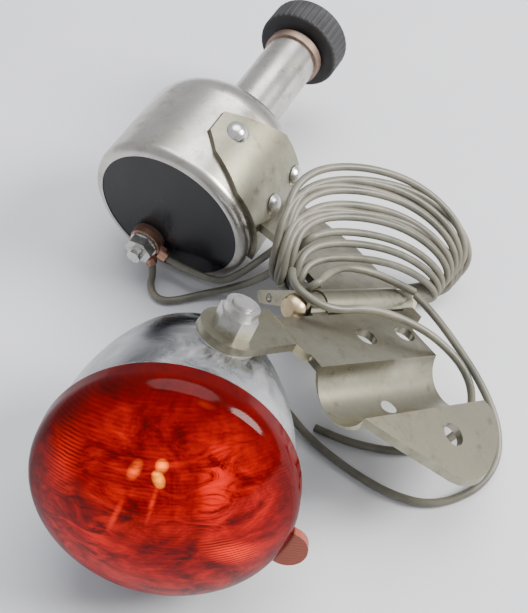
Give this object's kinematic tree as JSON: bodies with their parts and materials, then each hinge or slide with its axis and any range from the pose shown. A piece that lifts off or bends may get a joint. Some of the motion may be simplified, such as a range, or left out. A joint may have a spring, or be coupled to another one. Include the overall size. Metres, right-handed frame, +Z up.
{
  "type": "bicycle dynamo and tail lamp set",
  "caption": "Bottle dynamo with friction roller and a round red tail lamp on one stamped seat-stay bracket, with its thin lead wound round the dynamo's foot.",
  "frame": {"origin": "on the table, under the middle of the set as it lies, leads left out", "axes": "+Z up from the table, -Y towards the lamp's lens, +Y towards the friction roller"},
  "size_m": [0.1053, 0.1826, 0.0577],
  "materials": {
    "chrome": "polished, worn",
    "red_lens": "glossy translucent",
    "mirror": "polished",
    "bulb_glass": "clear",
    "brass": "tarnished",
    "solder": "dull",
    "insulation": "matte",
    "plated_steel": "bright plated",
    "zinc_steel": "dull zinc plate",
    "spring_steel": "satin",
    "black_cover": "semi-gloss",
    "collar": "tarnished",
    "black_rubber": "matte",
    "magnet": "ground",
    "core_steel": "satin",
    "copper": "tarnished copper",
    "lead_grey": "satin"
  },
  "bodies": {
    "bracket": {"bracket_plate": "zinc_steel", "lamp_nut": "plated_steel", "hinge_pin": "brass", "hinge_spring": "spring_steel", "tail_lead_end": "lead_grey", "headlamp_lead_end": "lead_grey"},
    "lamp": {"lamp_shell": "chrome", "lens": "red_lens", "reflector": "mirror", "bulb_glass": "bulb_glass", "bulb_cap": "brass", "bulb_contact": "solder", "bulb_holder": "brass", "holder_base": "insulation", "lamp_terminal_post": "brass", "lamp_terminal_bush": "insulation", "lamp_terminal_nut": "plated_steel", "lamp_stud": "plated_steel", "stud_seat": "plated_steel"},
    "dynamo": {"bottom_cover": "black_cover", "carrier_rivets": "plated_steel", "claw_pole_high": "core_steel", "claw_pole_low": "core_steel", "coil_bobbin": "insulation", "copper_winding": "copper", "dynamo_carrier": "zinc_steel", "dynamo_housing": "chrome", "headlamp_lead_start": "lead_grey", "lead_hank": "lead_grey", "lower_bearing": "brass", "middle_bearing": "brass", "neck_collar": "collar", "neck_tube": "chrome", "tail_lead_start": "lead_grey", "terminal_bush": "insulation", "terminal_lugs": "copper", "terminal_nut": "plated_steel", "terminal_post": "plated_steel", "terminal_washer": "plated_steel", "upper_bearing": "brass"},
    "rotor": {"rotor_shaft": "spring_steel", "friction_roller": "black_rubber", "roller_washer": "plated_steel", "roller_nut": "plated_steel", "magnet_rotor": "magnet"},
    "lever": {"release_lever": "zinc_steel"}
  },
  "joints": [
    {"name": "dynamo_tilt", "type": "hinge", "parent": "bracket", "child": "dynamo", "pos_m": [0.0167, -0.01921, 0.02288], "axis": [0.7433, 0.4549, -0.4905], "range_deg": [0, 14]},
    {"name": "roller_spin", "type": "hinge", "parent": "dynamo", "child": "rotor", "pos_m": [-0.01028, 0.04592, 0.0246], "axis": [0.4629, 0.8855, 0.0401], "continuous": true},
    {"name": "lamp_swivel", "type": "hinge", "parent": "bracket", "child": "lamp", "pos_m": [-0.01019, -0.04684, 0.04826], "axis": [0.4076, 0.2734, 0.8713], "range_deg": [-12, 12]},
    {"name": "release_lever_turn", "type": "hinge", "parent": "bracket", "child": "lever", "pos_m": [0.00407, -0.02695, 0.03122], "axis": [0.7433, 0.4549, -0.4905], "range_deg": [-5, 20]}
  ]
}
